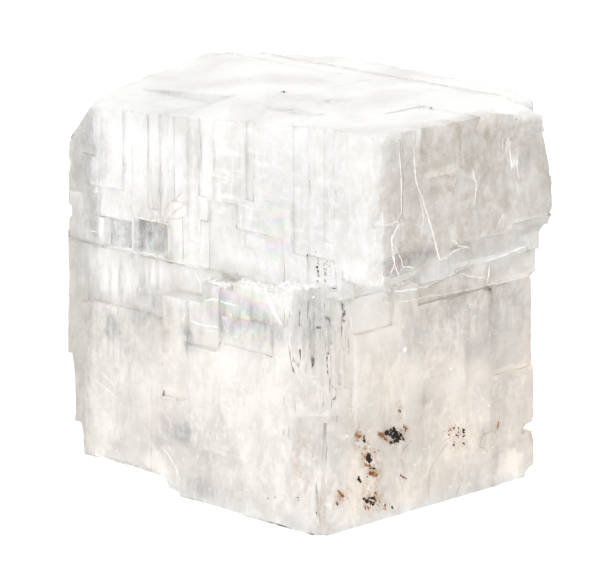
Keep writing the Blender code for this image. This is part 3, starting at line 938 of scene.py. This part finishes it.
# Sprays of splinters on the lower right face: middle and spread (right, up), how many, how far
# they lean from level in degrees, and the ranges of their lengths and of half their widths
BLACK_SPRAYS = (
    ((8.2, 9.8), (0.9, 0.5), 6, -45, (0.6, 1.0), (0.11, 0.2)),
    ((9.2, 9.5), (0.7, 0.5), 6, -70, (0.7, 1.1), (0.1, 0.18)),
    ((9.0, 9.2), (0.6, 0.4), 4, -15, (0.8, 1.3), (0.12, 0.22)),
    ((3.9, 10.0), (0.0, 0.0), 1, -70, (0.6, 0.7), (0.12, 0.14)),
    ((4.6, 7.6), (0.2, 0.2), 3, -60, (0.5, 0.9), (0.12, 0.17)),
    ((5.1, 6.4), (0.0, 0.0), 1, -5, (0.8, 0.9), (0.08, 0.1)),
    ((3.1, 5.5), (0.0, 0.0), 1, -55, (0.7, 0.8), (0.16, 0.18)),
    ((4.1, 2.9), (0.0, 0.0), 1, -65, (0.5, 0.6), (0.2, 0.22)),
    ((5.3, 2.5), (0.4, 0.5), 4, -20, (0.4, 1.1), (0.07, 0.12)),
    ((18.9, 7.2), (0.9, 1.3), 12, -50, (0.1, 0.3), (0.06, 0.09)),
    ((19.7, 7.7), (0.0, 0.0), 1, -60, (0.2, 0.3), (0.15, 0.17)),
    ((-0.4, 3.4), (0.0, 0.0), 1, -55, (0.3, 0.4), (0.09, 0.1)),
    ((8.2, 1.1), (0.0, 0.0), 1, -45, (0.2, 0.3), (0.09, 0.1)),
)
BROWN_SPRAYS = (
    ((10.3, 10.0), (0.1, 0.1), 1, -40, (0.6, 0.7), (0.13, 0.15)),
    ((6.6, 10.0), (0.1, 0.1), 2, -35, (0.5, 0.6), (0.16, 0.2)),
    ((7.2, 9.4), (0.1, 0.1), 1, -65, (0.6, 0.7), (0.1, 0.12)),
    ((2.9, 10.8), (0.1, 0.1), 2, -35, (0.7, 0.9), (0.1, 0.14)),
    ((3.8, 8.2), (0.1, 0.1), 1, -65, (0.7, 0.8), (0.1, 0.12)),
    ((4.5, 6.9), (0.1, 0.1), 1, -50, (0.7, 0.8), (0.1, 0.12)),
    ((5.4, 5.7), (0.1, 0.1), 2, -30, (0.9, 1.1), (0.14, 0.18)),
    ((0.2, 4.6), (0.1, 0.2), 2, -60, (0.5, 0.6), (0.12, 0.17)),
    ((4.9, 2.7), (0.9, 0.8), 7, -50, (0.3, 0.5), (0.07, 0.1)),
    ((7.1, 1.4), (0.1, 0.2), 2, -50, (0.3, 0.4), (0.08, 0.12)),
    ((10.0, 4.3), (0.0, 0.0), 1, -40, (1.1, 1.2), (0.08, 0.09)),
    ((17.4, 7.9), (0.7, 0.8), 6, -50, (0.1, 0.3), (0.06, 0.08)),
    ((25.2, 7.2), (0.0, 0.0), 1, -80, (0.7, 0.8), (0.07, 0.08)),
    ((9.5, 12.3), (0.1, 0.1), 1, -55, (0.3, 0.4), (0.1, 0.11)),
)


def splinters(bm, draw, skin, sprays):
    """Rough splinters half sunk in the lower right face, each a row of lumps along its length."""
    for (right, up), (across, along), count, lean, lengths, halves in sprays:
        for _ in range(count):
            middle = Vector((right + across * draw.uniform(-1, 1), 0, up + along * draw.uniform(-1, 1)))
            turn = math.radians(lean + draw.uniform(-25, 25))
            reach = Vector((math.cos(turn), 0, math.sin(turn))) * draw.uniform(*lengths) / 2
            half = draw.uniform(*halves)
            lumps = max(1, round(2 * reach.length / (1.6 * half)))
            for i in range(lumps + 1):
                stray = Vector((draw.gauss(0, 0.3), 0, draw.gauss(0, 0.3))) * half
                met = skin_point(skin, RIGHT_FACE, middle + reach * (2 * i / lumps - 1) + stray)
                if met:
                    chip(bm, draw, met + Vector((0, half * 0.4, 0)), half * draw.uniform(1.2, 1.9))


def iron_grains(skin, material):
    """Near-black grains of iron and manganese oxide on the skin."""
    draw = random.Random(GRAIN_SEED)
    bm = bmesh.new()
    splinters(bm, draw, skin, BLACK_SPRAYS)
    for face, middle, spread, count, sizes in (
        (RIGHT_FACE, (9.0, 0, 9.5), (1.3, 0, 1.4), 34, (0.04, 0.12)),
        (RIGHT_FACE, (4.4, 0, 8.0), (0.9, 0, 2.2), 12, (0.04, 0.1)),
        (RIGHT_FACE, (5.0, 0, 2.6), (1.6, 0, 1.0), 16, (0.04, 0.1)),
        (RIGHT_FACE, (18.9, 0, 7.4), (1.6, 0, 1.9), 24, (0.03, 0.07)),
        (RIGHT_FACE, (22.6, 0, 45.6), (0.1, 0, 0.1), 1, (0.12, 0.14)),
        (LEFT_FACE, (0, 8.8, 30.2), (0, 0.2, 1.9), 26, (0.05, 0.13)),
        (LEFT_FACE, (0, 7.8, 30.0), (0, 0.3, 1.7), 20, (0.05, 0.12)),
        (LEFT_FACE, (0, 7.0, 30.6), (0, 0.4, 1.2), 5, (0.04, 0.08)),
        (LEFT_FACE, (-2, 13.6, 2.9), (0, 0.1, 0.1), 1, (0.1, 0.12)),
        (LEFT_FACE, (-2, 12.5, 3.1), (0, 0.1, 0.1), 2, (0.08, 0.12)),
        (LEFT_FACE, (-2, 8.9, 3.8), (0, 0.2, 0.3), 3, (0.06, 0.12)),
        (TOP_FACE, (11.2, 24.7, 47), (0.7, 0.7, 0), 4, (0.07, 0.16)),
        (TOP_FACE, (16.2, 7.6, 47), (0.7, 1.6, 0), 7, (0.05, 0.12)),
    ):
        grain_cloud(bm, draw, skin, face, middle, spread, count, sizes)
    return finished("iron_grains", bm, material)


def rust_flecks(skin, material):
    """Brown flecks of rust beside the darker grains, and hair cracks lined with it."""
    draw = random.Random(GRAIN_SEED + 1)
    bm = bmesh.new()
    splinters(bm, draw, skin, BROWN_SPRAYS)
    for middle, spread, count, sizes in (
        ((8.6, 0, 9.7), (2.6, 0, 1.6), 22, (0.04, 0.11)),
        ((3.3, 0, 10.4), (1.0, 0, 1.2), 14, (0.04, 0.12)),
        ((4.7, 0, 7.3), (1.2, 0, 2.4), 26, (0.04, 0.13)),
        ((5.2, 0, 2.8), (2.8, 0, 1.6), 34, (0.04, 0.12)),
        ((0.6, 0, 4.2), (1.0, 0, 1.4), 10, (0.04, 0.11)),
        ((18.6, 0, 7.4), (2.8, 0, 2.4), 46, (0.03, 0.08)),
        ((24.6, 0, 5.0), (1.6, 0, 3.0), 10, (0.03, 0.08)),
    ):
        grain_cloud(bm, draw, skin, RIGHT_FACE, middle, spread, count, sizes)
    for pairs in (
        [(13.9, 0.7), (14.1, 4.2), (16.6, 6.7), (20.7, 8.2)],
        [(18.4, 0.4), (19.3, 1.8), (18.7, 3.2)],
        [(10.3, 4.6), (9.5, 7.0), (11.1, 8.4)],
        [(23.4, 4.8), (22.0, 5.3), (22.7, 6.7), (24.6, 6.8), (25.0, 5.7), (24.0, 4.9)],
    ):
        scar(bm, skin, RIGHT_FACE, pairs, 0.05, draw, lip=0.01, wander=0.06)
    return finished("rust_flecks", bm, material)


def stained_crack(skin, material):
    """A branching crack on the left face, lightly stained with iron."""
    draw = random.Random(GRAIN_SEED + 2)
    bm = bmesh.new()
    for pairs in (
        [(33.3, 28.8), (32.9, 31.3), (32.5, 33.1), (31.5, 35.1)],
        [(32.9, 31.3), (31.0, 32.9), (29.0, 34.6)],
        [(33.0, 30.6), (34.2, 32.5), (34.6, 34.2)],
        [(32.4, 33.2), (30.5, 34.9), (29.7, 36.0)],
        [(31.9, 32.2), (30.1, 32.4), (28.9, 33.0)],
    ):
        scar(bm, skin, LEFT_FACE, pairs, 0.2, draw, lip=0.02)
    return finished("stained_crack", bm, material)


# ---- table, light and camera --------------------------------------------------------------

def pale_table():
    """A wide white matt top, just under the stone."""
    bm = bmesh.new()
    bmesh.ops.create_circle(bm, cap_ends=True, segments=96, radius=1.2)
    bm.transform(Matrix.Translation((0, 0, -0.1 * MM)))
    mesh = bpy.data.meshes.new("pale_table")
    bm.to_mesh(mesh)
    bm.free()
    table = bpy.data.objects.new("pale_table", mesh)
    bpy.context.scene.collection.objects.link(table)
    # Laminate board, pressed matt. It mirrors nothing, and its own glow keeps it as pale as the room
    material, _, shader, _ = new_material("white_laminate")
    shader.inputs["Base Color"].default_value = linear("#B0B0B0")
    shader.inputs["Roughness"].default_value = 0.7
    shader.inputs["Emission Color"].default_value = linear("#FFFFFF")
    shader.inputs["Emission Strength"].default_value = 0.8
    mesh.materials.append(material)


def studio_light():
    """An even white room, a little dimmer on the camera's side."""
    world = bpy.data.worlds.new("studio")
    bpy.context.scene.world = world
    world.use_nodes = True
    tree = world.node_tree
    way = node(tree, "ShaderNodeTexCoord").outputs["Generated"]
    apart = node(tree, "ShaderNodeSeparateXYZ", {0: way}).outputs
    strength = node(tree, "ShaderNodeMapRange", {
        "Value": apart["Y"], "From Min": -1.0, "From Max": 0.6, "To Min": 1.09, "To Max": 1.12,
    })
    background = tree.nodes["Background"]
    background.inputs["Color"].default_value = (1, 1, 1, 1)
    tree.links.new(strength.outputs[0], background.inputs["Strength"])


def long_lens():
    """The camera, far off behind a long lens, so that level edges stay nearly parallel."""
    data = bpy.data.cameras.new("long_lens")
    data.lens = LENS
    data.sensor_width = SENSOR
    data.clip_start = 10 * MM
    camera = bpy.data.objects.new("long_lens", data)
    camera.location = CAMERA_PLACE
    camera.rotation_euler = (math.pi / 2 - CAMERA_DIP, 0, 0)
    bpy.context.scene.collection.objects.link(camera)
    bpy.context.scene.camera = camera


long_lens()
pale_table()
studio_light()
bpy.context.scene.view_settings.view_transform = "Standard"
# Light crosses many inner cracks and faces before it leaves clear stone
bpy.context.scene.cycles.max_bounces = 24
bpy.context.scene.cycles.transmission_bounces = 24
bpy.context.scene.cycles.diffuse_bounces = 12

skin = calcite_block(cleaved_calcite())
# Calcite parted by films of air along fine cracks: a soft white that still lets light by
white_veils(plain_stone("feathered_calcite", "#FDFDFB", 0.5, 0.9, "#F6F5F1", AIRY_IOR))
# Calcite crushed to powder where it broke: opaque, matt white
white_scars(skin, plain_stone("shattered_calcite", "#FFFFFE", 0.6, 0.0, "#F8F7F4"))
# Painted shade of an open cleft, where light goes in and little comes back: soft grey
painted_shade_clefts(skin, plain_stone("painted_cleft_shade", "#6A6967", 0.5, 0.2, "#B4B2AE", DULL_IOR))
# Iron and manganese oxide, grown in grains: near black and matt, brown in places
iron_grains(skin, plain_stone("iron_oxide", "#120E0A", 0.7, 0.0, "#3A2415", DULL_IOR))
# Rust, weathered out of those grains: earthy brown, and quite matt
rust_flecks(skin, plain_stone("rust", "#7A4A26", 0.8, 0.0, "#B9824E", DULL_IOR))
# Calcite stained along a crack by water that held iron: a faint warm white
stained_crack(skin, plain_stone("iron_stained_calcite", "#F0DCCB", 0.6, 0.4, "#F8F0E8"))
